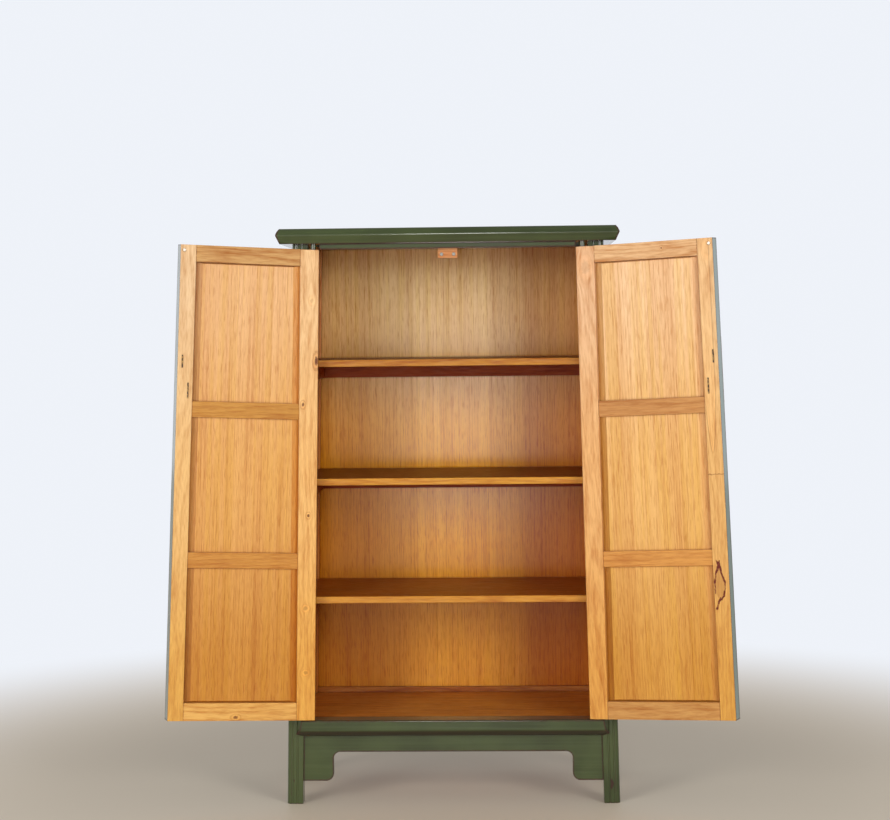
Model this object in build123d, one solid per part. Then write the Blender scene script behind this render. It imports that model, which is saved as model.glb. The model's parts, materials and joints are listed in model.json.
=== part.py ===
from build123d import *
import os
from math import cos, pi, radians, sin, tan

# A Chinese wedding cabinet: four leaning posts under a moulded top, a rounded bottom rail over a
# curved apron, three shelves on cleats, and two framed doors that turn on wooden pivots.
# x runs to the right, y to the back and z up. While the pieces are made, x = 0 is the middle and
# y = 0 the front face of the posts. Left-hand pieces are made once and mirrored to the right.

os.makedirs("parts", exist_ok=True)

# ---- Driving dimensions, mm and degrees

# Whole cabinet
HEIGHT = 1360.0
TOP_WIDTH = 800.0
TOP_DEPTH = 430.0
OVERHANG = 35.0  # of the top beyond the posts, all round
SPLAY = 1.3  # inward lean of each post

# Top: four mitred members with a moulded edge, a floating panel and two battens under it
TOP_THICK = 35.0
TOP_MEMBER = 80.0
EDGE_SLOPE = 8.5  # how far the moulded edge falls back at its top and bottom
EDGE_RIDGE = 20.0  # height of the ridge over the underside
RIDGE_HALF = 4.0  # half the height of the rounded ridge
RIDGE_CROWN = 1.2
EDGE_SWELL = 0.9  # swelling of the upper slope
TOP_PANEL = 12.0
TOP_BATTEN_WIDE = 30.0
TOP_BATTEN_THICK = 16.0
TOP_BATTEN_APART = 260.0
TOP_BATTEN_TENON = 10.0

# Posts: square inside, rounded at the outer corner, two flutes down the front
POST = 38.0
POST_ROUND = 12.0
POST_ARRIS = 2.0
FLUTE_FIRST = 14.0  # from the inner edge of the post
FLUTE_SECOND = 26.0
FLUTE_RADIUS = 3.0
FLUTE_DEEP = 1.3
POST_TENON = 18.0
POST_TENON_LONG = 25.0

# Bottom rails
SILL = 203.0  # height of the rails' top
RAIL_HIGH = 39.0
RAIL_PROUD = 19.5  # of the front rail's face beyond the posts
RAIL_ARRIS = 3.0
RAIL_ROUND = 16.0
SILL_BACK = 28.0  # from the front of the posts to the back of the front rail
BACK_RAIL_THICK = 24.0
RAIL_INSET = 4.0  # of the other rails behind the posts' faces
RAIL_TENON = 12.0
RAIL_TENON_LONG = 21.0
RAIL_TENON_EDGE = 7.0
SIDE_TENON_LONG = 14.0
LAP_TOP = 4.0  # how far the front rail's face laps onto the posts: at its top,
LAP_MIDDLE = 8.0  # where the rounding starts,
LAP_TIP = 17.0  # and at the tip of the tongue
LAP_TIP_HIGH = 6.0  # height of the tip over the rail's underside

# Aprons
APRON_THICK = 12.0
APRON_INSET = 6.0
APRON_DROP = 41.0  # below the rail at the middle
SPANDREL_DROP = 110.0  # below the rail at the posts
SPANDREL_WIDE = 70.0
SIDE_SPANDREL_WIDE = 46.0
APRON_HOLLOW = 16.0  # radius of the hollow corner
APRON_TOE = 18.0  # radius of the rounded toe
APRON_TONGUE = 5.0

# Panels, floor and shelves
PANEL_THICK = 9.0
PANEL_RECESS = 4.0  # of the side panels behind the posts' inner faces
BACK_INSET = 20.0  # of the back panel's face from the back of the posts
GROOVE = 8.0
FOOT_GROOVE = 4.0  # depth of the panels' grooves in the bottom rails
GROOVE_ROOM = 1.0  # room at the bottom of a groove
FLOOR_THICK = 12.0
TONGUE_THICK = 5.0
SHELF_THICK = 16.5
SHELF_FRONT = 10.0
SHELF_ARRIS = 2.0
LOWER_SHELF = 290.0  # top of the lower shelf over the floor board
SHELF_PITCH = 280.0
SHELF_ROOM = 0.5
CLEAT_HIGH = 33.0
CLEAT_THICK = 15.0
BACK_BEAD_HIGH = 13.0

# Header strip and catch
HEADER_HIGH = 12.5
HEADER_FRONT = 14.0  # how far it stands in front of the posts
HEADER_DEEP = 19.0
HEADER_CLEAR = 8.0  # from the pivots
CATCH_WIDE = 46.0
CATCH_DEEP = 20.0
CATCH_HIGH = 35.5
CATCH_OFF = 2.0  # between the closed doors and the block
CATCH_APART = 28.4
CATCH_DROP = 26.5  # of the magnets below the underside
MAGNET_RADIUS = 4.0
MAGNET_THICK = 4.0
MAGNET_PROUD = 0.3

# Doors
LEFT_OPEN = 167.0  # how far each door stands open
RIGHT_OPEN = 163.5
DOOR_THICK = 24.5
DOOR_PROUD = 18.5
DOOR_SILL_GAP = 2.0
DOOR_HEAD_GAP = 1.5
DOOR_SIDE_GAP = 1.5
MEETING_GAP = 1.5
MEETING_BEVEL = 5.0
HINGE_STILE = 43.5
MEETING_STILE = 40.5
DOOR_TOP_RAIL = 38.5
DOOR_BOTTOM_RAIL = 41.5
DOOR_TENON = 8.0
DOOR_TENON_LONG = 25.0
DOOR_TENON_EDGE = 6.0
HINGE_ROUND = 6.0  # at the hinge edge's outer corner
HINGE_ARRIS = 3.0  # and at its inner one
PIVOT_RADIUS = 6.5
PIVOT_INSET = 12.0  # from the door's hinge edge to the pivot's axis
PIVOT_SETBACK = 9.0  # from the door's outer face
PIVOT_TOP_LONG = 14.0  # inside the top
PIVOT_FOOT_LONG = 12.0  # inside the sill
PIVOT_PLAY = 0.08
PIVOT_END_PLAY = 0.3
DOOR_PANEL_THICK = 17.0
DOOR_TONGUE_DEEP = 6.0  # from the outer face to the panel's tongue
DOOR_TONGUE = 7.0
DOOR_PANEL_ROOM = 0.4
FIELD_SIDE = 16.0  # width of the panel's bevels beside the stiles
FIELD_END = 4.0  # and beside the rails
BATTEN_HIGH = 36.5
UPPER_BATTEN = 727.0  # middle of the batten over the door's foot
LOWER_BATTEN = 376.0
BATTEN_RECESS = 2.0
BATTEN_TENON = 8.0
BATTEN_TENON_THICK = 5.0
BATTEN_TENON_EDGE = 5.0

# Brass: a round plate in two halves, a lock staple and a drop pull on each door
PLATE_RADIUS = 75.0
PLATE_THICK = 1.5
PLATE_HEIGHT = 1010.0
PLATE_BEAD = 1.2  # height of the raised rim
PLATE_RIM = 3.4  # and its width
LOCK_IN = 16.5  # from the middle of the cabinet
LOCK_HEIGHT = 1042.0
LOCK_EYE = 8.5
LOCK_WIRE = 2.0
LOCK_LEG = 15.0
PULL_IN = 31.0
PULL_HEIGHT = 975.0
PULL_EYE = 3.8
PULL_WIRE = 1.5
PULL_LEG = 18.0
WIRE_SIDES = 8
EYE_RUNS = 16  # straight runs round an eye
STAPLE_STAND = 0.3  # of the eyes off the plate
SHANK_STEP = 0.4  # by which a staple's shank is slimmer than its eye
LEG_WIDE = 2.8
LEG_THICK = 1.3
PULL_BAR = 2.3
PULL_NECK = 4.8
PULL_THICK = 2.6
PULL_LONG = 46.0
PULL_DROP = 9.5  # radius of its broad end
PULL_TIP = 6.0
PULL_SLIM = 0.4  # thinning of the neck's sides against its bar
SCREW_HEAD = 4.0
SCREW_HEAD_HIGH = 1.2
SCREW_SHANK = 1.8
SCREW_LONG = 14.0

# ---- Lines that follow from them

LEAN = tan(radians(SPLAY))
UP_LEFT_POST = Vector(sin(radians(SPLAY)), 0, cos(radians(SPLAY)))
UNDERSIDE = HEIGHT - TOP_THICK
CATCH_HEIGHT = UNDERSIDE - CATCH_DROP
BODY_DEPTH = TOP_DEPTH - 2 * OVERHANG
RAIL_FOOT = SILL - RAIL_HIGH
POST_WIDE = POST / cos(radians(SPLAY))
BACK_FACE = BODY_DEPTH - BACK_INSET
BACK_RAIL_FRONT = BODY_DEPTH - RAIL_INSET - BACK_RAIL_THICK
DOOR_FOOT = SILL + DOOR_SILL_GAP
DOOR_HEAD = UNDERSIDE - HEADER_HIGH - DOOR_HEAD_GAP
DOOR_OUT = -DOOR_PROUD
DOOR_IN = DOOR_OUT + DOOR_THICK
PIVOT_Y = DOOR_OUT + PIVOT_SETBACK
PLATE_FACE = DOOR_OUT - PLATE_THICK


def outer(z):
    """Half the width over the posts at height z."""
    return TOP_WIDTH / 2 - OVERHANG + (UNDERSIDE - z) * LEAN


def inner(z):
    """Half the width between the posts."""
    return outer(z) - POST_WIDE


def side_face(z):
    """Half the width between the side panels."""
    return inner(z) + PANEL_RECESS


def pivot_x(z):
    """Distance of a pivot's axis from the middle."""
    return inner(z) - DOOR_SIDE_GAP - PIVOT_INSET


# ---- Solids the pieces are made of


def block(x0, x1, y0, y1, z0, z1):
    """Box between two corners."""
    return Pos((x0 + x1) / 2, (y0 + y1) / 2, (z0 + z1) / 2) * Box(x1 - x0, y1 - y0, z1 - z0)


def slanted(section, z0, z1):
    """Prism with level ends that leans with the left posts; the section is where it is at z0."""
    return extrude(Pos(0, 0, z0) * section, amount=(z1 - z0) / cos(radians(SPLAY)), dir=UP_LEFT_POST)


def slanted_slab(inset0, inset1, y0, y1, z0, z1):
    """Leaning slab between two distances inwards from the left posts' outer faces."""
    section = Pos((inset0 + inset1) / 2 - outer(z0), (y0 + y1) / 2) * Rectangle(inset1 - inset0, y1 - y0)
    return slanted(section, z0, z1)


def upright(points, y0, y1):
    """Flat piece with an (x, z) outline, from y0 back to y1."""
    outline = Polyline(*[(x, y0, z) for x, z in points], close=True)
    return extrude(make_face(outline), amount=y1 - y0, dir=(0, 1, 0))


def across(half, z0, z1, y0, y1):
    """Piece from side to side, half(z) wide each way at height z."""
    return upright([(-half(z0), z0), (half(z0), z0), (half(z1), z1), (-half(z1), z1)], y0, y1)


def rod(radius, start, direction, length):
    """Round bar from a point."""
    return extrude(Plane(start, z_dir=direction) * Circle(radius), amount=length)


def ring(radius, wire, centre):
    """Wire bent round in short runs, square to the doors, so that its hole runs along x."""
    turns = [(2 * run + 1) * pi / EYE_RUNS for run in range(EYE_RUNS)]
    bends = [(0, radius * cos(turn), radius * sin(turn)) for turn in turns]
    start = radius * cos(pi / EYE_RUNS)
    section = Pos(0, start) * RegularPolygon(wire, WIRE_SIDES)
    path = Polyline((0, start, 0), *bends, close=True)
    return Pos(*centre) * sweep(section, path=path, transition=Transition.RIGHT)


def right_hand(piece):
    """The right-hand twin of a left-hand piece."""
    return mirror(piece, about=Plane.YZ)


# ---- Posts


def make_post(at_front):
    """Left post, front or back, with its tenon in the top."""
    y0 = 0 if at_front else BODY_DEPTH - POST
    to_outside = 1 if at_front else -1
    section = Pos(POST_WIDE / 2 - outer(0), y0 + POST / 2) * Rectangle(POST_WIDE, POST)
    corners = section.vertices().sort_by(lambda v: v.X + to_outside * v.Y)
    section = fillet(corners[0], POST_ROUND)
    square_corners = section.vertices().filter_by(lambda v: v.X > -inner(0) - POST_ARRIS)
    section = fillet(square_corners, POST_ARRIS)
    if at_front:
        for offset in (FLUTE_FIRST, FLUTE_SECOND):
            section -= Pos(-inner(0) - offset, FLUTE_DEEP - FLUTE_RADIUS) * Circle(FLUTE_RADIUS)
    centre = Pos(POST_WIDE / 2 - outer(UNDERSIDE), y0 + POST / 2)
    tenon = slanted(centre * Rectangle(POST_TENON, POST_TENON), UNDERSIDE, UNDERSIDE + POST_TENON_LONG)
    return slanted(section, 0, UNDERSIDE) + tenon


post_front = make_post(True)
post_back = make_post(False)

# ---- Bottom rails


def rail_section(x, back):
    """Face of the front rail's section at x."""
    slope = 1 - cos(radians(45))
    arris_top = (RAIL_PROUD - RAIL_ARRIS, SILL)
    arris_mid = (RAIL_PROUD - RAIL_ARRIS * slope, SILL - RAIL_ARRIS * slope)
    arris_end = (RAIL_PROUD, SILL - RAIL_ARRIS)
    round_top = (RAIL_PROUD, RAIL_FOOT + RAIL_ROUND)
    round_mid = (RAIL_PROUD - RAIL_ROUND * slope, RAIL_FOOT + RAIL_ROUND * slope)
    round_end = (RAIL_PROUD - RAIL_ROUND, RAIL_FOOT)
    edges = [
        Line((-back, SILL), arris_top),
        ThreePointArc(arris_top, arris_mid, arris_end),
        Line(arris_end, round_top),
        ThreePointArc(round_top, round_mid, round_end),
        Line(round_end, (-back, RAIL_FOOT)),
        Line((-back, RAIL_FOOT), (-back, SILL)),
    ]
    return Plane((x, 0, 0), x_dir=(0, -1, 0), z_dir=(-1, 0, 0)) * make_face(edges)


def lap_outline():
    """Corners of the front rail seen from outside, with its tongues over the posts, as (x, z)."""
    middle = RAIL_FOOT + RAIL_ROUND
    tip = RAIL_FOOT + LAP_TIP_HIGH
    side = [
        (inner(RAIL_FOOT), RAIL_FOOT),
        (inner(tip) + LAP_TIP, tip),
        (inner(middle) + LAP_MIDDLE, middle),
        (inner(SILL) + LAP_TOP, SILL),
    ]
    return side + [(-x, z) for x, z in reversed(side)]


TENON_LOW = RAIL_FOOT + RAIL_TENON_EDGE
TENON_TOP = SILL - RAIL_TENON_EDGE
SIDE_HALF = BODY_DEPTH / 2 - POST
SIDE_BACK = POST - PANEL_RECESS  # depth of the side rails behind the posts' outer faces


def make_front_rail():
    bar = extrude(rail_section(-outer(0), SILL_BACK), amount=2 * outer(0), dir=(1, 0, 0))
    bar &= upright(lap_outline(), -RAIL_PROUD, SILL_BACK)
    for post in (post_front, right_hand(post_front)):
        bar -= post
    tenon_mid = (POST - SIDE_TENON_LONG) / 2
    reach = across(
        lambda z: inner(z) + RAIL_TENON_LONG,
        TENON_LOW,
        TENON_TOP,
        tenon_mid - RAIL_TENON / 2,
        tenon_mid + RAIL_TENON / 2,
    )
    return bar + reach


def make_back_rail():
    back = BODY_DEPTH - RAIL_INSET
    bar = across(inner, RAIL_FOOT, SILL, BACK_RAIL_FRONT, back)
    tenon_mid = BODY_DEPTH - (POST - SIDE_TENON_LONG) / 2
    reach = across(
        lambda z: inner(z) + RAIL_TENON_LONG,
        TENON_LOW,
        TENON_TOP,
        tenon_mid - RAIL_TENON / 2,
        tenon_mid + RAIL_TENON / 2,
    )
    return bar + reach


def make_left_rail():
    bar = slanted_slab(RAIL_INSET, SIDE_BACK, POST, BODY_DEPTH - POST, RAIL_FOOT, SILL)
    tenon = slanted_slab(
        (POST - RAIL_TENON) / 2,
        (POST + RAIL_TENON) / 2,
        POST - SIDE_TENON_LONG,
        BODY_DEPTH - POST + SIDE_TENON_LONG,
        TENON_LOW,
        TENON_TOP,
    )
    return bar + tenon


rail_front = make_front_rail()
rail_back = make_back_rail()
rail_left = make_left_rail()

# ---- Aprons


def apron_outline(half, spandrel):
    """Face with an apron's outline as (length, z): spandrels at the posts, hollow and rounded toe."""
    foot = RAIL_FOOT - SPANDREL_DROP
    middle = RAIL_FOOT - APRON_DROP
    top = RAIL_FOOT + APRON_TONGUE
    gap = half(RAIL_FOOT) - spandrel
    right = [
        (half(top) + APRON_TONGUE, top),
        (half(foot) + APRON_TONGUE, foot),
        (gap, foot),
        (gap, middle),
    ]
    outline = make_face(Polyline(*right, *[(-length, z) for length, z in reversed(right)], close=True))
    inside = outline.vertices().filter_by(lambda v: abs(v.X) < gap + 1)
    toes = inside.filter_by(lambda v: v.Y < (foot + middle) / 2)
    outline = fillet(toes, APRON_TOE)
    inside = outline.vertices().filter_by(lambda v: abs(v.X) < gap + 1)
    hollows = inside.filter_by(lambda v: v.Y > middle - 1)
    return fillet(hollows, APRON_HOLLOW)


def make_front_apron():
    face = Plane.XZ * apron_outline(inner, SPANDREL_WIDE)
    return Pos(0, APRON_INSET, 0) * extrude(face, amount=APRON_THICK, dir=(0, 1, 0))


def make_left_apron():
    face = Plane.YZ * apron_outline(lambda z: SIDE_HALF, SIDE_SPANDREL_WIDE)
    sheet = extrude(Pos(0, BODY_DEPTH / 2, 0) * face, amount=outer(0), dir=(-1, 0, 0))
    foot = RAIL_FOOT - SPANDREL_DROP
    return sheet & slanted_slab(
        APRON_INSET, APRON_INSET + APRON_THICK, 0, BODY_DEPTH, foot, RAIL_FOOT + APRON_TONGUE
    )


apron_front = make_front_apron()
apron_left = make_left_apron()
rail_front -= apron_front
rail_left -= apron_left

# ---- Side and back panels, floor and shelves


def make_side_panel(room):
    """Left side panel, with some room added all round for its groove."""
    edge = GROOVE + room
    inset = POST - PANEL_RECESS - PANEL_THICK
    foot = SILL - FOOT_GROOVE - room
    return slanted_slab(
        inset, inset + PANEL_THICK, POST - edge, BODY_DEPTH - POST + edge, foot, UNDERSIDE + edge
    )


def make_back_panel(room):
    edge = GROOVE + room
    foot = SILL - FOOT_GROOVE - room
    return across(
        lambda z: inner(z) + edge, foot, UNDERSIDE + edge, BACK_FACE, BACK_FACE + PANEL_THICK
    )


def make_floor(room):
    """Floor board, flush with the sill, on a thinner tongue all round its underside."""
    edge = GROOVE + room
    low = SILL - FLOOR_THICK
    board = across(side_face, low, SILL, SILL_BACK, BACK_RAIL_FRONT)
    return board + across(
        lambda z: side_face(z) + edge, low, low + TONGUE_THICK, SILL_BACK - edge, BACK_RAIL_FRONT + edge
    )


posts = [post_front, post_back, right_hand(post_front), right_hand(post_back)]
side_panel = make_side_panel(0)
back_panel = make_back_panel(0)
floor_board = make_floor(0)
for post in posts:
    floor_board -= post
floor_groove = make_floor(GROOVE_ROOM)
back_bead = across(inner, SILL, SILL + BACK_BEAD_HIGH, BACK_FACE - GROOVE, BACK_FACE)
rail_front -= floor_groove
rail_back = rail_back - floor_groove - make_back_panel(GROOVE_ROOM)
rail_left = rail_left - floor_groove - make_side_panel(GROOVE_ROOM)


def make_shelf(top):
    """Shelf that passes between the posts and fills the room between the side panels."""
    low = top - SHELF_THICK
    beside = POST + SHELF_ROOM
    board = across(lambda z: inner(z) - SHELF_ROOM, low, top, SHELF_FRONT, BACK_FACE - SHELF_ROOM)
    front = board.edges().filter_by(Axis.X).group_by(Axis.Y)[0]
    board = fillet(front, SHELF_ARRIS)
    return board + across(lambda z: side_face(z) - SHELF_ROOM, low, top, beside, BODY_DEPTH - beside)


def make_back_cleat(top):
    return across(inner, top - CLEAT_HIGH, top, BACK_FACE - CLEAT_THICK, BACK_FACE)


def make_side_cleats(top):
    inset = POST - PANEL_RECESS
    left = slanted_slab(inset, inset + CLEAT_THICK, POST, BODY_DEPTH - POST, top - CLEAT_HIGH, top)
    return Compound([left, right_hand(left)])


SHELF_TOPS = {
    "lower": SILL + LOWER_SHELF,
    "middle": SILL + LOWER_SHELF + SHELF_PITCH,
    "upper": SILL + LOWER_SHELF + 2 * SHELF_PITCH,
}

# ---- Top


def edge_section(place):
    """Face of a top member's section; place turns (distance in from the edge, z) into a point."""
    ridge = UNDERSIDE + EDGE_RIDGE
    top = (EDGE_SLOPE, HEIGHT)
    swell = ((EDGE_SLOPE + RIDGE_CROWN) / 2 - EDGE_SWELL, (HEIGHT + ridge + RIDGE_HALF) / 2)
    ridge_top = (RIDGE_CROWN, ridge + RIDGE_HALF)
    ridge_foot = (RIDGE_CROWN, ridge - RIDGE_HALF)
    foot = (EDGE_SLOPE, UNDERSIDE)
    edges = [
        Line(place(TOP_MEMBER, UNDERSIDE), place(TOP_MEMBER, HEIGHT)),
        Line(place(TOP_MEMBER, HEIGHT), place(*top)),
        ThreePointArc(place(*top), place(*swell), place(*ridge_top)),
        ThreePointArc(place(*ridge_top), place(0, ridge), place(*ridge_foot)),
        Line(place(*ridge_foot), place(*foot)),
        Line(place(*foot), place(TOP_MEMBER, UNDERSIDE)),
    ]
    return make_face(edges)


TOP_FRONT = -OVERHANG
TOP_BACK = TOP_FRONT + TOP_DEPTH
TOP_HALF = TOP_WIDTH / 2


def mitred(member, corners):
    """A member cut to its mitres, seen from above."""
    outline = make_face(Polyline(*[(x, y, UNDERSIDE) for x, y in corners], close=True))
    return member & extrude(outline, amount=TOP_THICK, dir=(0, 0, 1))


def make_top_member(at_front):
    """Front or back member."""
    edge, inwards = (TOP_FRONT, 1) if at_front else (TOP_BACK, -1)
    face = edge_section(lambda inset, z: (-TOP_HALF, edge + inwards * inset, z))
    bar = extrude(face, amount=TOP_WIDTH, dir=(1, 0, 0))
    inside = edge + inwards * TOP_MEMBER
    short = TOP_HALF - TOP_MEMBER
    return mitred(bar, [(-TOP_HALF, edge), (TOP_HALF, edge), (short, inside), (-short, inside)])


def make_top_end():
    """Left member."""
    face = edge_section(lambda inset, z: (-TOP_HALF + inset, TOP_FRONT, z))
    bar = extrude(face, amount=TOP_DEPTH, dir=(0, 1, 0))
    inside = TOP_MEMBER - TOP_HALF
    corners = [
        (-TOP_HALF, TOP_FRONT),
        (-TOP_HALF, TOP_BACK),
        (inside, TOP_BACK - TOP_MEMBER),
        (inside, TOP_FRONT + TOP_MEMBER),
    ]
    return mitred(bar, corners)


def make_top_panel(room):
    """Panel flush with the top of its frame, on a thinner tongue all round."""
    half = TOP_HALF - TOP_MEMBER
    front, back = TOP_FRONT + TOP_MEMBER, TOP_BACK - TOP_MEMBER
    edge = GROOVE + room
    middle = HEIGHT - TOP_PANEL / 2
    gap = SHELF_ROOM
    field = block(-half + gap, half - gap, front + gap, back - gap, HEIGHT - TOP_PANEL, HEIGHT)
    tongue = block(
        -half - edge,
        half + edge,
        front - edge,
        back + edge,
        middle - TONGUE_THICK / 2,
        middle + TONGUE_THICK / 2,
    )
    return field + tongue


def make_top_batten():
    """Left batten under the top panel, with stub tenons in the front and back members."""
    front, back = TOP_FRONT + TOP_MEMBER, TOP_BACK - TOP_MEMBER
    x = -TOP_BATTEN_APART / 2
    low = HEIGHT - TOP_PANEL - TOP_BATTEN_THICK
    half = TOP_BATTEN_WIDE / 2
    bar = block(x - half, x + half, front, back, low, HEIGHT - TOP_PANEL)
    reach = TOP_BATTEN_TENON
    tenon = block(x - half / 2, x + half / 2, front - reach, back + reach, low, low + TOP_BATTEN_THICK / 2)
    return bar + tenon


top_front = make_top_member(True)
top_back = make_top_member(False)
top_end = make_top_end()
top_panel = make_top_panel(0)
top_groove = make_top_panel(GROOVE_ROOM)
top_batten = make_top_batten()
side_groove = make_side_panel(GROOVE_ROOM)
back_groove = make_back_panel(GROOVE_ROOM)

# ---- Header strip and catch

header_half = pivot_x(UNDERSIDE) - PIVOT_RADIUS - HEADER_CLEAR
header_strip = block(
    -header_half, header_half, -HEADER_FRONT, HEADER_DEEP - HEADER_FRONT, UNDERSIDE - HEADER_HIGH, UNDERSIDE
)
catch_face = DOOR_IN + CATCH_OFF
catch_block = block(
    -CATCH_WIDE / 2,
    CATCH_WIDE / 2,
    catch_face,
    catch_face + CATCH_DEEP,
    UNDERSIDE - CATCH_HIGH,
    UNDERSIDE,
)
magnet_front = (-CATCH_APART / 2, catch_face - MAGNET_PROUD, CATCH_HEIGHT)
magnet = rod(MAGNET_RADIUS, magnet_front, (0, 1, 0), MAGNET_THICK)
catch_magnets = Compound([magnet, right_hand(magnet)])
catch_block = catch_block - magnet - right_hand(magnet)

# ---- Left door, made shut


def hinge_edge(z):
    """x of the left door's hinge edge."""
    return DOOR_SIDE_GAP - inner(z)


def leaf(z0, z1, y0, y1, grow=0):
    """Piece between the left door's stiles, its hinge end parallel to the hinge stile."""
    right = -MEETING_GAP / 2 - MEETING_STILE + grow
    left0 = hinge_edge(z0) + HINGE_STILE - grow
    left1 = hinge_edge(z1) + HINGE_STILE - grow
    return upright([(left0, z0), (right, z0), (right, z1), (left1, z1)], y0, y1)


def make_door_panel(room):
    """Panel flush outside, with a bevelled field inside, on a tongue all round."""
    low, high = DOOR_FOOT + DOOR_BOTTOM_RAIL, DOOR_HEAD - DOOR_TOP_RAIL
    gap = DOOR_PANEL_ROOM
    edge = GROOVE + room
    tongue_out = DOOR_OUT + DOOR_TONGUE_DEEP
    tongue_in = tongue_out + DOOR_TONGUE
    tongue = leaf(low - edge, high + edge, tongue_out, tongue_in, edge)
    face = leaf(low + gap, high - gap, DOOR_OUT, tongue_out, -gap)

    def corners(side, end, y):
        right = -MEETING_GAP / 2 - MEETING_STILE - side
        z0, z1 = low + end, high - end
        left0, left1 = (hinge_edge(z) + HINGE_STILE + side for z in (z0, z1))
        return make_face(Polyline((left0, y, z0), (right, y, z0), (right, y, z1), (left1, y, z1), close=True))

    base = corners(gap, gap, tongue_in)
    field = corners(FIELD_SIDE, FIELD_END, DOOR_OUT + DOOR_PANEL_THICK)
    return tongue + face + loft([base, field], ruled=True)


def make_door_rail(z0, z1):
    """Top or bottom rail of the door with its tenons."""
    middle = (DOOR_OUT + DOOR_IN) / 2
    bar = leaf(z0, z1, DOOR_OUT, DOOR_IN)
    half = DOOR_TENON / 2
    tenon = leaf(
        z0 + DOOR_TENON_EDGE, z1 - DOOR_TENON_EDGE, middle - half, middle + half, DOOR_TENON_LONG
    )
    return bar + tenon


def make_batten(middle):
    """Cross batten over the panel's inner face, stub-tenoned to the stiles."""
    z0, z1 = middle - BATTEN_HIGH / 2, middle + BATTEN_HIGH / 2
    face = DOOR_IN - BATTEN_RECESS
    bar = leaf(z0, z1, DOOR_OUT + DOOR_TONGUE_DEEP + DOOR_TONGUE, face)
    tenon = leaf(
        z0 + BATTEN_TENON_EDGE,
        z1 - BATTEN_TENON_EDGE,
        DOOR_OUT + DOOR_TONGUE_DEEP + DOOR_TONGUE,
        DOOR_OUT + DOOR_TONGUE_DEEP + DOOR_TONGUE + BATTEN_TENON_THICK,
        BATTEN_TENON,
    )
    return bar + tenon - door_panel


def make_hinge_stile():
    """Leaning stile with a pivot at each end."""
    section = Pos(hinge_edge(DOOR_FOOT) + HINGE_STILE / 2, (DOOR_OUT + DOOR_IN) / 2) * Rectangle(
        HINGE_STILE, DOOR_THICK
    )
    outside = section.vertices().group_by(Axis.X)[0].sort_by(Axis.Y)[0]
    section = fillet(outside, HINGE_ROUND)
    inside = section.vertices().group_by(Axis.Y)[-1].sort_by(Axis.X)[0]
    section = fillet(inside, HINGE_ARRIS)
    stile = slanted(section, DOOR_FOOT, DOOR_HEAD)
    low, high = SILL - PIVOT_FOOT_LONG, UNDERSIDE + PIVOT_TOP_LONG
    dowel = slanted(Pos(-pivot_x(low), PIVOT_Y) * Circle(PIVOT_RADIUS), low, DOOR_FOOT)
    dowel_top = slanted(Pos(-pivot_x(DOOR_HEAD), PIVOT_Y) * Circle(PIVOT_RADIUS), DOOR_HEAD, high)
    return stile + dowel + dowel_top


def make_sockets():
    """Room for the left door's pivots in the sill and the top."""
    radius = PIVOT_RADIUS + PIVOT_PLAY
    low = SILL - PIVOT_FOOT_LONG - PIVOT_END_PLAY
    high = UNDERSIDE + PIVOT_TOP_LONG + PIVOT_END_PLAY
    foot = slanted(Pos(-pivot_x(low), PIVOT_Y) * Circle(radius), low, SILL + 1)
    head = slanted(Pos(-pivot_x(UNDERSIDE - 1), PIVOT_Y) * Circle(radius), UNDERSIDE - 1, high)
    return foot, head


def make_meeting_stile():
    """Stile at the middle, its edge bevelled so that the outer faces meet."""
    edge = -MEETING_GAP / 2
    back = edge - MEETING_STILE
    corners = [
        (edge, DOOR_OUT),
        (edge - MEETING_BEVEL, DOOR_IN),
        (back, DOOR_IN),
        (back, DOOR_OUT),
    ]
    section = make_face(Polyline(*corners, close=True))
    return extrude(Pos(0, 0, DOOR_FOOT) * section, amount=DOOR_HEAD - DOOR_FOOT)


def eye_y(eye, wire):
    """y of the middle of a staple's eye."""
    return PLATE_FACE - STAPLE_STAND - wire - eye


def make_staple(x, z, eye, wire, leg):
    """Split pin: an eye outside, a shank through the stile and two legs bent flat inside."""
    start = eye_y(eye, wire) + eye
    end = DOOR_IN + LEG_THICK / 2
    shank_section = RegularPolygon(wire - SHANK_STEP, WIRE_SIDES)
    shank = extrude(Plane((x, start, z), z_dir=(0, 1, 0)) * shank_section, amount=end - start)
    half = LEG_WIDE / 2
    legs = block(x - half, x + half, DOOR_IN, DOOR_IN + LEG_THICK, z - leg, z + leg)
    return ring(eye, wire, (x, eye_y(eye, wire), z)) + shank + legs


def make_pull():
    """Drop pull: a bar through the staple's eye, a neck round the wire, and a broad tip."""
    hole = PULL_NECK - PULL_BAR + PULL_SLIM
    neck = Pos(0, -PULL_EYE) * Circle(PULL_NECK)
    waist = Pos(0, -PULL_EYE - 2 * PULL_NECK) * Circle(PULL_NECK / 2)
    broad = Pos(0, PULL_DROP - PULL_LONG) * Circle(PULL_DROP)
    drop = make_hull((waist + broad).edges())
    stem = make_hull((neck + waist).edges())
    blunt = Pos(0, PULL_DROP - PULL_LONG) * Circle(PULL_TIP)
    tip = make_hull((blunt + Pos(0, -PULL_LONG) * Circle(2)).edges())
    outline = stem + drop + tip - Pos(0, PULL_NECK - PULL_EYE - PULL_BAR - hole) * Circle(hole)
    hang = Plane((-PULL_IN, eye_y(PULL_EYE, PULL_WIRE), PULL_HEIGHT), x_dir=(1, 0, 0), z_dir=(0, -1, 0))
    return extrude(hang * outline, amount=PULL_THICK / 2, both=True)


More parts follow.
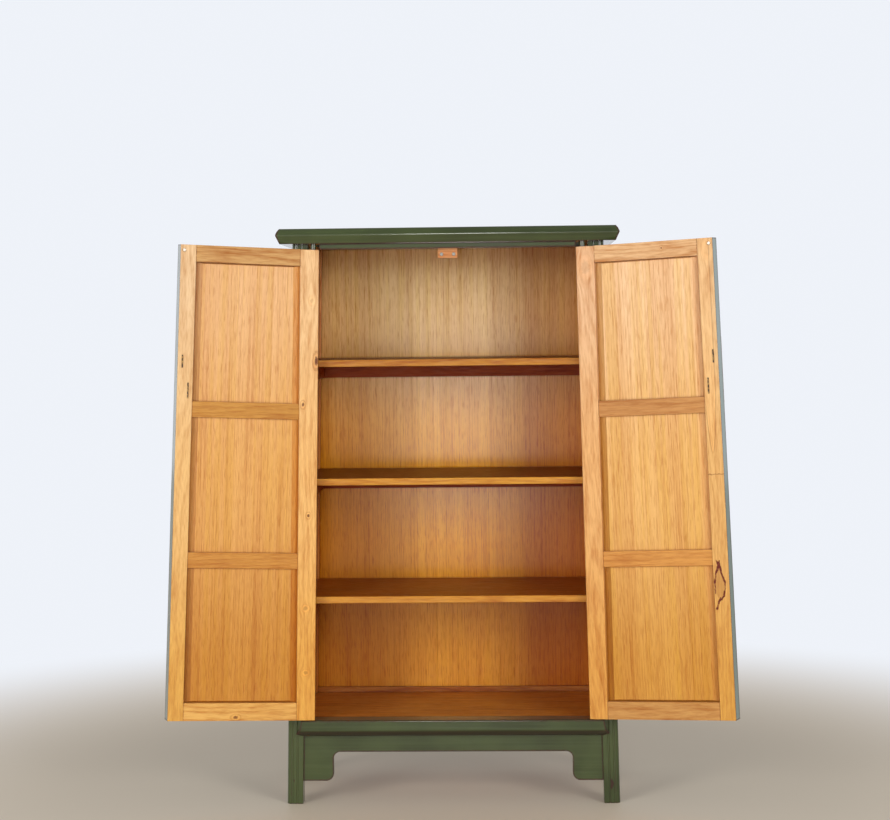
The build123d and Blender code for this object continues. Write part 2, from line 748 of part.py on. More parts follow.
def make_plate():
    """Half of the round lock plate, with a bead round its rim."""
    centre = (-MEETING_GAP / 2, DOOR_OUT, PLATE_HEIGHT)
    disc = rod(PLATE_RADIUS, centre, (0, -1, 0), PLATE_THICK)
    rim_corners = [
        (PLATE_RADIUS - PLATE_RIM, 0),
        (PLATE_RADIUS, 0),
        (PLATE_RADIUS - PLATE_BEAD, PLATE_BEAD),
        (PLATE_RADIUS - PLATE_RIM + PLATE_BEAD, PLATE_BEAD),
    ]
    section = Plane.XZ * make_face(Polyline(*rim_corners, close=True))
    rim = Pos(centre[0], PLATE_FACE, centre[2]) * Rot(90, 0, 0) * revolve(section, Axis.Z)
    side = block(
        centre[0] - PLATE_RADIUS,
        centre[0],
        PLATE_FACE - PLATE_BEAD,
        DOOR_OUT,
        PLATE_HEIGHT - PLATE_RADIUS,
        PLATE_HEIGHT + PLATE_RADIUS,
    )
    return (disc + rim) & side


def make_screw():
    """Steel screw that the magnet holds."""
    start = (-CATCH_APART / 2, DOOR_IN, CATCH_HEIGHT)
    head = rod(SCREW_HEAD, start, (0, 1, 0), SCREW_HEAD_HIGH)
    head = chamfer(head.edges().group_by(Axis.Y)[-1], SCREW_HEAD_HIGH / 2)
    return head + rod(SCREW_SHANK, start, (0, -1, 0), SCREW_LONG)


door_panel = make_door_panel(0)
door_groove = make_door_panel(GROOVE_ROOM)
door_top_rail = make_door_rail(DOOR_HEAD - DOOR_TOP_RAIL, DOOR_HEAD) - door_groove
door_bottom_rail = make_door_rail(DOOR_FOOT, DOOR_FOOT + DOOR_BOTTOM_RAIL) - door_groove
upper_batten = make_batten(DOOR_FOOT + UPPER_BATTEN)
lower_batten = make_batten(DOOR_FOOT + LOWER_BATTEN)
hinge_stile = make_hinge_stile()
meeting_stile = make_meeting_stile()
for crossing in (door_top_rail, door_bottom_rail, upper_batten, lower_batten, door_groove):
    hinge_stile -= crossing
    meeting_stile -= crossing
lock_staple = make_staple(-LOCK_IN, LOCK_HEIGHT, LOCK_EYE, LOCK_WIRE, LOCK_LEG)
pull_staple = make_staple(-PULL_IN, PULL_HEIGHT, PULL_EYE, PULL_WIRE, PULL_LEG)
catch_screw = make_screw()
meeting_stile = meeting_stile - lock_staple - pull_staple - catch_screw
lock_plate = make_plate() - lock_staple - pull_staple
pull = make_pull()
socket_foot, socket_head = make_sockets()

# ---- Cuts that seat one piece in another

post_front = post_front - rail_front - rail_left - apron_front - apron_left - side_groove
post_back = post_back - rail_back - rail_left - apron_left - side_groove - back_groove
rail_front = rail_front - socket_foot - right_hand(socket_foot)
top_end = top_end - posts[0] - posts[1] - side_groove - top_groove
for piece in (posts[0], posts[2], side_groove, right_hand(side_groove), top_groove):
    top_front -= piece
for piece in (posts[1], posts[3], side_groove, right_hand(side_groove), top_groove, back_groove):
    top_back -= piece
for piece in (socket_head, right_hand(socket_head), top_batten, right_hand(top_batten)):
    top_front -= piece
top_back = top_back - top_batten - right_hand(top_batten)
top_end -= back_groove

# ---- The whole cabinet, node by node

cabinet = {
    "post_front_left": post_front,
    "post_back_left": post_back,
    "bottom_rail_front": rail_front,
    "bottom_rail_back": rail_back,
    "bottom_rail_left": rail_left,
    "apron_front": apron_front,
    "apron_left": apron_left,
    "side_panel_left": side_panel,
    "back_panel": back_panel,
    "back_bead": back_bead,
    "floor_board": floor_board,
    "top_frame_front": top_front,
    "top_frame_back": top_back,
    "top_frame_left": top_end,
    "top_panel": top_panel,
    "top_batten_left": top_batten,
    "header_strip": header_strip,
    "catch_block": catch_block,
    "catch_magnets": catch_magnets,
}
for level, shelf_top in SHELF_TOPS.items():
    cabinet["shelf_" + level] = make_shelf(shelf_top)
    cabinet["cleat_back_" + level] = make_back_cleat(shelf_top - SHELF_THICK)
    cabinet["cleats_side_" + level] = make_side_cleats(shelf_top - SHELF_THICK)
for name in [name for name in cabinet if name.endswith("_left")]:
    cabinet[name.replace("_left", "_right")] = right_hand(cabinet[name])

door = {
    "hinge_stile": hinge_stile,
    "meeting_stile": meeting_stile,
    "top_rail": door_top_rail,
    "bottom_rail": door_bottom_rail,
    "batten_upper": upper_batten,
    "batten_lower": lower_batten,
    "panel": door_panel,
    "lock_plate": lock_plate,
    "lock_staple": lock_staple,
    "pull_staple": pull_staple,
    "catch_screw": catch_screw,
    "pull": pull,
}
left_axis = Axis((-pivot_x(SILL), PIVOT_Y, SILL), UP_LEFT_POST)
right_axis = Axis((pivot_x(SILL), PIVOT_Y, SILL), (-UP_LEFT_POST.X, 0, UP_LEFT_POST.Z))
for name, piece in door.items():
    cabinet["door_left_" + name] = piece.rotate(left_axis, -LEFT_OPEN)
    cabinet["door_right_" + name] = right_hand(piece).rotate(right_axis, RIGHT_OPEN)

# The origin is the middle of the open cabinet's footprint, on the floor.
box = Compound(list(cabinet.values())).bounding_box()
to_origin = Vector(-(box.min.X + box.max.X) / 2, -(box.min.Y + box.max.Y) / 2, 0)
for name, piece in cabinet.items():
    export_step(Pos(to_origin) * piece, f"parts/{name}.step")

print("moved by", to_origin, "size", box.size)
for side, axis, turn in (("left", left_axis, -LEFT_OPEN), ("right", right_axis, RIGHT_OPEN)):
    x = PULL_IN if side == "right" else -PULL_IN
    hang = Vertex(x, eye_y(PULL_EYE, PULL_WIRE), PULL_HEIGHT).rotate(axis, turn).center()
    along = Axis((0, 0, 0), (1, 0, 0)).direction.rotate(Axis((0, 0, 0), axis.direction), turn)
    print(side, "door axis at", axis.position + to_origin, "along", axis.direction)
    print(side, "pull axis at", hang + to_origin, "along", along)
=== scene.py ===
import json
import math

import bpy
from mathutils import Matrix, Vector


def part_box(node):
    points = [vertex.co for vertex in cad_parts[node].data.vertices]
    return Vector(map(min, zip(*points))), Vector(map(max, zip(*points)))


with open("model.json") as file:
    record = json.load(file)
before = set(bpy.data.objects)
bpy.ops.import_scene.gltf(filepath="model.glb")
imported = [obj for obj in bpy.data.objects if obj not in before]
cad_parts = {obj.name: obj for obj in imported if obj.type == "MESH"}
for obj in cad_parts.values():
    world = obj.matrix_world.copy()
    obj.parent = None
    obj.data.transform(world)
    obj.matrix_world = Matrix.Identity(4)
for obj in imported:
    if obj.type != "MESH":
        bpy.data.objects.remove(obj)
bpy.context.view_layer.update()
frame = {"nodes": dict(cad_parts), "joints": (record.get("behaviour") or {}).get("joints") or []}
nodes = frame["nodes"]

# ---- Camera, lamps and floor
# A long lens at chest height, a little right of the middle. Three soft lamps stand in front of the
# cabinet. The floor is pale and plain, and fades into the pale wall behind a few steps away.

CAMERA_SPOT = (0.1425, -4.6055, 1.1246)
CAMERA_TURN = (87.548, 0.623, 1.896)
CAMERA_LENS = 77.08
CAMERA_REACH = 60
LAMPS = {
    "lamp_front": {"spot": (-0.13, -5.6, 0.6), "width": 0.6, "height": 1.2, "power": 50},
    "lamp_left": {"spot": (-3.2, -4.2, 2.0), "width": 1.8, "height": 1.8, "power": 103},
    "lamp_right": {"spot": (3.2, -4.2, 2.0), "width": 1.8, "height": 1.8, "power": 103},
}
LAMP_AIM = Vector((0, 0, 0.75))
ROOM_LIGHT = 0.34
WHITE = (1, 1, 1, 1)
BACKDROP = (0.86, 0.89, 0.945, 1)
WALL_FADE = 0.3
FLOOR = (0.72, 0.62, 0.49, 1)
FLOOR_ROUGH = 0.6
FLOOR_HALF = 12.0
FLOOR_NEAR = 0.8
FLOOR_FAR = 2.4
FLOOR_GLOW = 0.05

camera = bpy.data.objects.new("camera", bpy.data.cameras.new("camera"))
camera.location = CAMERA_SPOT
camera.rotation_euler = [math.radians(turn) for turn in CAMERA_TURN]
camera.data.lens = CAMERA_LENS
camera.data.clip_end = CAMERA_REACH
bpy.context.scene.collection.objects.link(camera)
bpy.context.scene.camera = camera
bpy.context.scene.view_settings.view_transform = "Standard"

for name, place in LAMPS.items():
    light = bpy.data.lights.new(name, "AREA")
    light.shape = "RECTANGLE"
    light.size, light.size_y = place["width"], place["height"]
    light.energy = place["power"]
    lamp = bpy.data.objects.new(name, light)
    lamp.location = place["spot"]
    lamp.rotation_euler = (LAMP_AIM - lamp.location).to_track_quat("-Z", "Y").to_euler()
    lamp.visible_camera = False
    bpy.context.scene.collection.objects.link(lamp)


def feed(socket, value):
    """Gives a socket what comes out of another node, or a plain value."""
    if isinstance(value, bpy.types.Node):
        value = value.outputs[0]
    if isinstance(value, bpy.types.NodeSocket):
        socket.id_data.links.new(value, socket)
    else:
        socket.default_value = value


def add_node(tree, kind, *values, **given):
    """Adds a node and feeds its sockets in turn.

    A given name is a socket's if it starts with a capital, and a setting's if it doesn't.
    """
    made = tree.nodes.new("ShaderNode" + kind)
    for name, value in given.items():
        if name[0].isupper():
            feed(made.inputs[name.replace("_", " ")], value)
        else:
            setattr(made, name, value)
    in_use = [socket for socket in made.inputs if socket.enabled]
    for socket, value in zip(in_use, values):
        feed(socket, value)
    return made


# The pale wall is seen past the cabinet and mirrored in what faces it; all other light is dim.
room = bpy.data.worlds.new("room")
room.use_nodes = True
tree = room.node_tree
tree.nodes.clear()
rays = add_node(tree, "LightPath").outputs
heading = add_node(tree, "SeparateXYZ", add_node(tree, "TexCoord").outputs["Generated"])
to_wall = add_node(tree, "MapRange", heading.outputs["Y"], -WALL_FADE, WALL_FADE, 0, 1)
mirrored = add_node(tree, "Math", rays["Is Glossy Ray"], to_wall, operation="MULTIPLY")
shown = add_node(tree, "Math", rays["Is Camera Ray"], mirrored, operation="MAXIMUM")
dim = add_node(tree, "Background", WHITE, ROOM_LIGHT)
wall = add_node(tree, "Background", BACKDROP, 1)
add_node(tree, "OutputWorld", add_node(tree, "MixShader", shown, dim, wall))
bpy.context.scene.world = room

floor_mesh = bpy.data.meshes.new("floor")
corners = [(-1, -1), (1, -1), (1, 1), (-1, 1)]
floor_mesh.from_pydata([(x * FLOOR_HALF, y * FLOOR_HALF, 0) for x, y in corners], [], [range(4)])
floor = bpy.data.objects.new("floor", floor_mesh)
bpy.context.scene.collection.objects.link(floor)
floor_paint = bpy.data.materials.new("floor")
floor_paint.use_nodes = True
tree = floor_paint.node_tree
flat = tree.nodes["Principled BSDF"]
feed(flat.inputs["Base Color"], FLOOR)
feed(flat.inputs["Roughness"], FLOOR_ROUGH)
where = add_node(tree, "TexCoord").outputs["Object"]
away = add_node(tree, "VectorMath", where, operation="LENGTH").outputs["Value"]
limits = (FLOOR_NEAR, FLOOR_FAR, FLOOR_GLOW)
fade = add_node(tree, "MapRange", away, *limits, interpolation_type="SMOOTHSTEP")
tint = add_node(tree, "Mix", fade, FLOOR, BACKDROP, data_type="RGBA").outputs[2]
rays = add_node(tree, "LightPath").outputs
seen = add_node(tree, "Math", rays["Is Camera Ray"], fade, operation="MULTIPLY")
blend = add_node(tree, "MixShader", seen, flat, add_node(tree, "Emission", tint))
feed(tree.nodes["Material Output"].inputs[0], blend)
floor_mesh.materials.append(floor_paint)

# ---- Posts
# Four leaning posts of hard wood under olive green lacquer. It is brushed on, polished, and rubbed
# through to the brown ground on every arris and in small dents. Inside they are varnished golden.

LEFT, RIGHT = (-1, 0, 0), (1, 0, 0)
FORWARD, BACKWARD = (0, -1, 0), (0, 1, 0)
UP, DOWN = (0, 0, 1), (0, 0, -1)
STREAK_SHIFT = (3.7, 1.9, 7.3)
PROBE_SAMPLES = 6
SOFTEN_SAMPLES = 4


def paint(red, green, blue):
    """A colour given as 0 to 255 on screen."""
    return [*(((c / 255 + 0.055) / 1.055) ** 2.4 for c in (red, green, blue)), 1]


class Finish:
    """A finish being mixed: each method adds a step and returns what comes out of it."""

    def __init__(self, name):
        self.material = bpy.data.materials.new(name)
        self.material.use_nodes = True
        self.tree = self.material.node_tree
        self.tree.nodes.clear()
        self.shader = add_node(self.tree, "BsdfPrincipled")
        add_node(self.tree, "OutputMaterial", self.shader)

    def step(self, kind, *values, out=0, **given):
        return add_node(self.tree, kind, *values, **given).outputs[out]

    def maths(self, operation, *values, clamp=False):
        return self.step("Math", *values, operation=operation, use_clamp=clamp)

    def vector(self, operation, *values, out=0):
        return self.step("VectorMath", *values, out=out, operation=operation)

    def mix(self, share, below, above, blend="MIX"):
        return self.step("Mix", share, below, above, out=2, data_type="RGBA", blend_type=blend)

    def rise(self, value, low, high, start=0.0, end=1.0):
        """Goes smoothly from start to end while the value goes from low to high."""
        limits = (low, high, start, end)
        return self.step("MapRange", value, *limits, interpolation_type="SMOOTHSTEP")

    def both(self, first, second):
        return self.maths("MULTIPLY", first, second)

    def either(self, first, second):
        return self.maths("MAXIMUM", first, second)

    def place(self):
        """Where on the object the surface is, in metres."""
        return self.step("TexCoord", out="Object")

    def height(self):
        return self.step("SeparateXYZ", out="Z", Vector=self.place())

    def moved(self, spot, shift=(0, 0, 0), scale=(1, 1, 1)):
        return self.step("Mapping", Vector=spot, Location=shift, Scale=scale)

    def noise(self, spot, scale, detail=2, warp=0.0):
        return self.step("TexNoise", Vector=spot, Scale=scale, Detail=detail, Distortion=warp)

    def streaks(self, spot, grain, seed, count, detail=2, warp=0.0):
        """Noise drawn out along the grain; count is how many to the metre, across and along."""
        across, along = count
        scale = [along if axis == grain else across for axis in "XYZ"]
        shift = [step * seed for step in STREAK_SHIFT]
        return self.noise(self.moved(spot, shift, scale), 1, detail, warp)

    def marks(self, spot, grain, seed, limits, **kind):
        """Marks in the grain: 1 on a mark and 0 between, as the noise crosses its limits."""
        return self.rise(self.streaks(spot, grain, seed, **kind), *limits)

    def dot(self, vector, direction):
        return self.vector("DOT_PRODUCT", vector, direction, out="Value")

    def facing(self, direction, low=0.4, high=0.6):
        """1 where the piece's face points in a direction."""
        return self.rise(self.dot(self.step("TexCoord", out="Normal"), direction), low, high)

    def arris(self, width):
        """How near an edge is: 0 on a flat face, up to about 0.5 at a square edge."""
        rounded = self.step("Bevel", Radius=width, samples=PROBE_SAMPLES)
        match = self.dot(rounded, self.step("NewGeometry", out="Normal"))
        return self.maths("SQRT", self.maths("SUBTRACT", 1.0, match, clamp=True))

    def hollow(self, reach):
        """How deep in a corner: 0 on an open face, about 0.5 where two faces meet squarely."""
        open_air = self.step("AmbientOcclusion", out="AO", Distance=reach, samples=PROBE_SAMPLES)
        return self.maths("SUBTRACT", 1.0, open_air)

    def set(self, **sockets):
        for name, value in sockets.items():
            feed(self.shader.inputs[name.replace("_", " ")], value)

    def bump(self, height, depth, soften=0.0):
        """Relief of the surface, with its arrises softened over a width."""
        relief = self.step("Bump", Height=height, Distance=depth)
        if soften:
            rounded = self.step("Bevel", Radius=soften, samples=SOFTEN_SAMPLES)
            feed(relief.node.inputs["Normal"], rounded)
        self.set(Normal=relief)


def dress(node, finish):
    """Gives a CAD piece its finish."""
    mesh = nodes[node].data
    mesh.materials.clear()
    mesh.materials.append(finish.material)


# Clouds and specks are counted to the metre, and marks by two counts, across and along the grain.
LACQUER = paint(62, 74, 36)
LACQUER_DEEP = paint(46, 56, 26)
LACQUER_THIN = paint(80, 92, 52)
LACQUER_CLOUDS = 7
CLOUD_LIMITS = (0.3, 0.7)
LACQUER_ROUGH = (0.3, 0.4)
BRUSH_MARKS = {"count": (160, 3), "detail": 3, "limits": (0.35, 0.7)}
BRUSH_SHARE = 0.25
BRUSH_LIFT = 0.3
GROUND = paint(82, 40, 28)
GROUND_DARK = paint(36, 20, 14)
GROUND_SPECKS = 90
RUB_WIDTH = 0.007
RUB_SPECKS = 60
RUB_RAGGED = 0.25
RUB_LIMITS = (0.27, 0.36)
DENTS = {"count": (45, 16), "detail": 3, "limits": (0.76, 0.8)}
DENT_SHARE = 0.8
# Crevices darken to the brown ground, as dirt and painted shade.
CREVICE_REACH = 0.004
CREVICE_LIMITS = (0.1, 0.4)
CREVICE_SHARE = 0.95
BARE_ROUGHER = 0.22
BARE_SUNK = -0.8


def lacquer_coat(f, spot, grain, seed, wear=1.0, shades=()):
    """Colour, roughness and height of the green lacquer: rubbed at the edges, dirt and painted
    shade in crevices.
    """
    clouds = f.noise(f.moved(spot, shift=(seed, 0, 0)), LACQUER_CLOUDS, 3)
    cloud = f.rise(clouds, *CLOUD_LIMITS)
    brush = f.marks(spot, grain, seed, **BRUSH_MARKS)
    tone = f.mix(cloud, LACQUER_DEEP, LACQUER)
    tone = f.mix(f.both(brush, BRUSH_SHARE), tone, LACQUER_THIN)
    for share, shade in shades:
        tone = f.mix(share, tone, shade)
    ragged = f.noise(f.moved(spot, shift=(0, seed, 0)), RUB_SPECKS, 4)
    rubbed = f.maths("MULTIPLY_ADD", ragged, RUB_RAGGED, f.arris(RUB_WIDTH))
    rubbed = f.rise(rubbed, *(limit / wear for limit in RUB_LIMITS))
    dents = f.marks(spot, grain, seed + 3, **DENTS)
    deep = (limit / wear for limit in CREVICE_LIMITS)
    crevice = f.rise(f.hollow(CREVICE_REACH), *deep, 0, CREVICE_SHARE)
    bare_and_crevices = f.either(f.either(rubbed, f.both(dents, DENT_SHARE)), crevice)
    ground = f.mix(f.noise(spot, GROUND_SPECKS), GROUND_DARK, GROUND)
    rough = f.maths("MULTIPLY_ADD", bare_and_crevices, BARE_ROUGHER, f.rise(cloud, 0, 1, *LACQUER_ROUGH))
    lift = f.maths("MULTIPLY_ADD", brush, BRUSH_LIFT, f.both(bare_and_crevices, BARE_SUNK))
    return f.mix(bare_and_crevices, tone, ground), rough, lift


RELIEF = 0.0003
SOFT_ARRIS = 0.0012
SHEEN = 0.25
POLISH = 0.7
POLISH_ROUGH = 0.1


def lay(f, colour, rough, lift, gloss=0.0, polish=POLISH_ROUGH):
    """Lays a coat on the piece; gloss is how much clear polish stands on it."""
    f.set(Base_Color=colour, Roughness=rough, Specular_IOR_Level=SHEEN)
    f.set(Coat_Weight=gloss, Coat_Roughness=polish)
    f.bump(lift, RELIEF, SOFT_ARRIS)


def lacquer(name, grain, seed, wear=1.0, gloss=POLISH):
    f = Finish(name)
    lay(f, *lacquer_coat(f, f.place(), grain, seed, wear), gloss)
    return f


STAIN = (0.62, 0.39, 0.19, 1)
CORNER_STAIN = (0.42, 0.24, 0.11, 1)
# The varnished wood darkens into its corners, as dirt and as painted shade.
CORNER_REACH = 0.006
CORNER_LIMITS = (0.1, 0.55)
CORNER_DIRT_AND_SHADE = 0.6
# Heights where the three tones blend; the paler upper tones are painted light.
LOWER_TONES = (0.3, 0.75)
UPPER_TONES = (0.75, 1.25)


def tones(f, wood):
    """A wood's colour: one tone, or three from the cabinet's foot to its head, paler upwards as
    painted light.
    """
    if isinstance(wood, tuple):
        return paint(*wood)
    foot, middle, head = (paint(*tone) for tone in wood)
    height = f.height()
    low = f.mix(f.rise(height, *LOWER_TONES), foot, middle)
    return f.mix(f.rise(height, *UPPER_TONES), low, head)


def stained(f, colour, depth, dirt_and_shade):
    """Deepens a wood colour by its grain, and once more in the corners, as dirt and painted shade.
    """
    colour = f.mix(depth, colour, STAIN, "MULTIPLY")
    corner_darkening = f.rise(f.hollow(CORNER_REACH), *CORNER_LIMITS, 0, dirt_and_shade)
    return f.mix(corner_darkening, colour, CORNER_STAIN, "MULTIPLY")


GROWTH_LINES = 420
GROWTH_LIMITS = (-0.2, 1)
GROWTH_DEPTH = 0.3
WANDER = (11, 1.5)
WANDER_FAR = 70
MOTTLING = {"count": (60, 8), "detail": 4, "warp": 0.2, "limits": (0.42, 0.7)}
MOTTLE_DEPTH = 0.5
SHORT_PORES = {"count": (420, 40), "detail": 3, "limits": (0.4, 0.68)}
PORE_DEPTH = 0.32
SOLID_ROUGH = (0.34, 0.44)


def solid_coat(f, spot, wood, grain, seed, figure=1.0, dirt_and_shade=CORNER_DIRT_AND_SHADE):
    """Varnished solid wood: wandering growth lines, brown mottling and short pores."""
    across = UP if grain == "X" else RIGHT
    wander = f.both(f.streaks(spot, grain, seed, WANDER), WANDER_FAR)
    rings = f.maths("MULTIPLY_ADD", f.dot(spot, across), GROWTH_LINES, wander)
    growth = f.rise(f.maths("SINE", rings), *GROWTH_LIMITS)
    mottle = f.marks(spot, grain, seed + 1, **MOTTLING)
    pores = f.marks(spot, grain, seed + 2, **SHORT_PORES)
    depth = f.both(mottle, MOTTLE_DEPTH * figure)
    depth = f.maths("MULTIPLY_ADD", growth, GROWTH_DEPTH * figure, depth)
    depth = f.maths("MULTIPLY_ADD", pores, PORE_DEPTH, depth, clamp=True)
    rough = f.rise(pores, 0, 1, *SOLID_ROUGH)
    return stained(f, tones(f, wood), depth, dirt_and_shade), rough, f.both(pores, -1.0)


def coats(f, outside, inner, outer, gloss=None, polish=POLISH_ROUGH):
    """Lays the outer coat over the inner one where outside is 1."""
    inside = f.maths("SUBTRACT", 1.0, outside)
    colour = f.mix(outside, inner[0], outer[0])
    rough, lift = (
        f.maths("ADD", f.both(inside, under), f.both(outside, over))
        for under, over in zip(inner[1:], outer[1:])
    )
    if gloss is None:
        gloss = f.rise(outside, 0, 1, 0, POLISH)
    lay(f, colour, rough, lift, gloss, polish)


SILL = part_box("floor_board")[1].z
POST_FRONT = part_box("post_front_left")[0].y
BACK_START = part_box("back_panel")[0].y
LEAN = math.tan(math.radians(1.3))
DOOR_GAP = 0.0015
DOOR_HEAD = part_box("header_strip")[0].z - DOOR_GAP
# Just behind the flutes in a post's front, and how softly one coat ends at another.
FLUTES_END = 0.0016
FLUTES_SOFT = 0.0008
SOFT = 0.001


def inside_cabinet(f, spot, end, hand):
    """1 on the part of a post that is inside: above the sill and within the panels' inner faces."""
    low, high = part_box("side_panel_" + hand)
    toward, edge = (1, high.x) if hand == "left" else (-1, -low.x)
    edge -= LEAN * high.z
    share = f.rise(f.dot(spot, (toward, 0, -LEAN)), edge - SOFT, edge)
    height = f.dot(spot, UP)
    share = f.both(share, f.rise(height, SILL, SILL + 2 * SOFT))
    if end == "front":
        share = f.both(share, f.rise(height, DOOR_HEAD - 2 * SOFT, DOOR_HEAD, 1, 0))
    depth = f.dot(spot, BACKWARD)
    start = POST_FRONT + FLUTES_END
    share = f.both(share, f.rise(depth, start, start + FLUTES_SOFT))
    return f.both(share, f.rise(depth, BACK_START, BACK_START + SOFT, 1, 0))


LINE_RIM = (-0.0006, 0.0004)


def draw_line(f, spot, strand):
    """A drawn line through points of x, z and half width in millimetres: 1 on it, 0 off it."""
    on = 0.0
    for (x0, z0, wide0), (x1, z1, wide1) in zip(strand, strand[1:]):
        run = Vector((x1 - x0, 0, z1 - z0)) / 1000
        start = (x0 / 1000, 0, z0 / 1000)
        from_start = f.vector("MULTIPLY", f.vector("SUBTRACT", spot, start), (1, 0, 1))
        along = f.maths("MULTIPLY", f.dot(from_start, run), 1 / run.length_squared, clamp=True)
        foot = f.vector("MULTIPLY", f.step("CombineXYZ", along, along, along), run)
        away = f.vector("LENGTH", f.vector("SUBTRACT", from_start, foot), out="Value")
        width = f.maths("MULTIPLY_ADD", along, (wide1 - wide0) / 1000, wide0 / 1000)
        on = f.either(on, f.rise(f.maths("SUBTRACT", width, away), *LINE_RIM))
    return on


POST_INSIDE = [(206, 130, 56), (228, 152, 78), (246, 176, 112)]
POST_WEAR = 0.55
# The front left post is painted paler, as light falling on it.
POST_PAINTED_LIGHT = {"front_left": 0.45}
NICK = paint(54, 30, 22)
# Chips out of the feet, each drawn as a line.
NICKS = {
    "front_left": [(-375.5, 60, 0.4), (-375.5, 56, 1.2), (-375.5, 52, 0.4)],
    "front_right": [
        (377, 58, 0.8),
        (376.5, 54, 2.4),
        (379, 47, 3.4),
        (377, 40, 3.2),
        (376.5, 34, 0.8),
    ],
}
INWARDS = {"left": RIGHT, "right": LEFT, "front": BACKWARD, "back": FORWARD}

for number, name in enumerate(("front_left", "front_right", "back_left", "back_right")):
    end, hand = name.split("_")
    post = Finish("post " + name)
    spot = post.place()
    shades = [(POST_PAINTED_LIGHT.get(name, 0.0), LACQUER_THIN)]
    if name in NICKS:
        shades.append((draw_line(post, spot, NICKS[name]), NICK))
    green = lacquer_coat(post, spot, "Z", seed=number, wear=POST_WEAR, shades=shades)
    brown = solid_coat(post, spot, POST_INSIDE, "Z", seed=12 + number)
    within = post.either(post.facing(INWARDS[hand]), post.facing(INWARDS[end]))
    within = post.both(within, inside_cabinet(post, spot, end, hand))
    coats(post, post.maths("SUBTRACT", 1.0, within), brown, green)
    dress("post_" + name, post)

# ---- Bottom rails and aprons
# The front rail has a square sill, worn, with a paler reflection painted on its top, and a belly
# rounded under, painted dark as shade. Thin shaped aprons stand below, with the brown ground at
# each edge.

# The sill's top is worn and painted paler and bluer as a reflection; the belly is painted dark as
# shade.
SILL_WEAR_AND_SHEEN = paint(50, 75, 62)
BELLY_PAINTED_SHADE = paint(44, 38, 22)
SILL_TURN = (0.85, 0.95)
BELLY_SHADE_TURN = (0.0, 0.4)
RAIL_WEAR = 1.2
RAIL_POLISH = 0.6
APRON_WEAR = 1.25
for number, side in enumerate(("front", "back")):
    rail = Finish("lacquer rail " + side)
    wear_and_sheen = (rail.facing(UP, *SILL_TURN), SILL_WEAR_AND_SHEEN)
    dark = (rail.facing(DOWN, *BELLY_SHADE_TURN), BELLY_PAINTED_SHADE)
    coat = lacquer_coat(rail, rail.place(), "X", 5 + number, RAIL_WEAR, [wear_and_sheen, dark])
    lay(rail, *coat, RAIL_POLISH)
    dress("bottom_rail_" + side, rail)
for number, side in enumerate(("left", "right")):
    dress("bottom_rail_" + side, lacquer("lacquer rail " + side, "Y", seed=7 + number))
    dress("apron_" + side, lacquer("lacquer apron " + side, "Y", seed=9 + number))
dress("apron_front", lacquer("lacquer apron front", "X", seed=11, wear=APRON_WEAR))

# ---- Side panels, back panel and bead
# Thin boards with an upright grain of fine dark pores: golden brown varnish inside, lacquer outside
# at the sides and a thin brown wash outside at the back. A bead covers the foot of the back panel.

GOLD = (0.97, 0.96, 0.78, 1)
GOLD_STREAKS = {"count": (70, 0.9), "limits": (0.45, 0.65)}
BANDS = {"count": (24, 0.6), "warp": 0.1, "limits": (0.3, 0.7)}
BAND_DEPTH = 0.3
LONG_PORES = {"count": (330, 3), "detail": 3, "limits": (0.46, 0.66)}
PINS = {"count": (480, 28), "detail": 1, "limits": (0.54, 0.66)}
PIN_DEPTH = 0.28
SILK = {"count": (420, 70), "detail": 3, "limits": (0.34, 0.66)}
SILK_DEPTH = 0.1
BOARD_ROUGH = (0.33, 0.44)


def board_coat(f, spot, wood, seed, pores=1.0, dirt_and_shade=CORNER_DIRT_AND_SHADE):
    """Varnished boards of a straight upright grain, with fine dark pores and a silky fleck."""
    kinds = (BANDS, LONG_PORES, SILK, PINS, GOLD_STREAKS)
    bands, lines, silk, pins, gold = (
        f.marks(spot, "Z", seed + number, **kind) for number, kind in enumerate(kinds)
    )
    depth = f.maths("MULTIPLY_ADD", bands, BAND_DEPTH, f.both(lines, PIN_DEPTH * pores))
    depth = f.maths("MULTIPLY_ADD", silk, SILK_DEPTH, depth)
    depth = f.maths("MULTIPLY_ADD", pins, PIN_DEPTH * pores, depth, clamp=True)
    rough = f.rise(pins, 0, 1, *BOARD_ROUGH)
    colour = f.mix(gold, tones(f, wood), GOLD, "MULTIPLY")
    return stained(f, colour, depth, dirt_and_shade), rough, f.both(pins, -1.0)


SIDE_WOOD = [(196, 126, 54), (212, 146, 78), (226, 166, 102)]
OUTWARDS = {"left": LEFT, "right": RIGHT}
for side, outwards in OUTWARDS.items():
    side_boards = Finish("side boards " + side)
    spot = side_boards.place()
    varnish = board_coat(side_boards, spot, SIDE_WOOD, seed=21)
    green = lacquer_coat(side_boards, spot, "Z", seed=23)
    coats(side_boards, side_boards.facing(outwards), varnish, green)
    dress("side_panel_" + side, side_boards)

# The back panel is painted darker towards both sides as shade, most of all at the foot, and painted
# with shadow close under the top.
BACK_WOOD = [(234, 164, 56), (250, 178, 34), (255, 220, 158)]
BACK_WASH = [(84, 52, 30), (90, 58, 34), (96, 62, 38)]
BACK_PORES = 1.4
BACK_GLOSS = 0.22
BACK_POLISH_ROUGH = 0.17
BACK_SHEEN = 0.08
BACK_SHADE = {"left": (0.7, 0.56, 0.34, 1), "right": (0.6, 0.365, 0.12, 1)}
SHADE_ABOVE = {"left": 0.45, "right": 0.78}
SHADE_ASIDE = (0.05, 0.25)
SHADE_HEIGHTS = (0.45, 1.0)
TOP_PAINTED_SHADOW = 0.6
TOP_SHADOW_HEIGHTS = (1.24, 1.32)
back_boards = Finish("back boards")
spot = back_boards.place()
height = back_boards.height()
colour, rough, lift = board_coat(back_boards, spot, BACK_WOOD, 25, BACK_PORES)
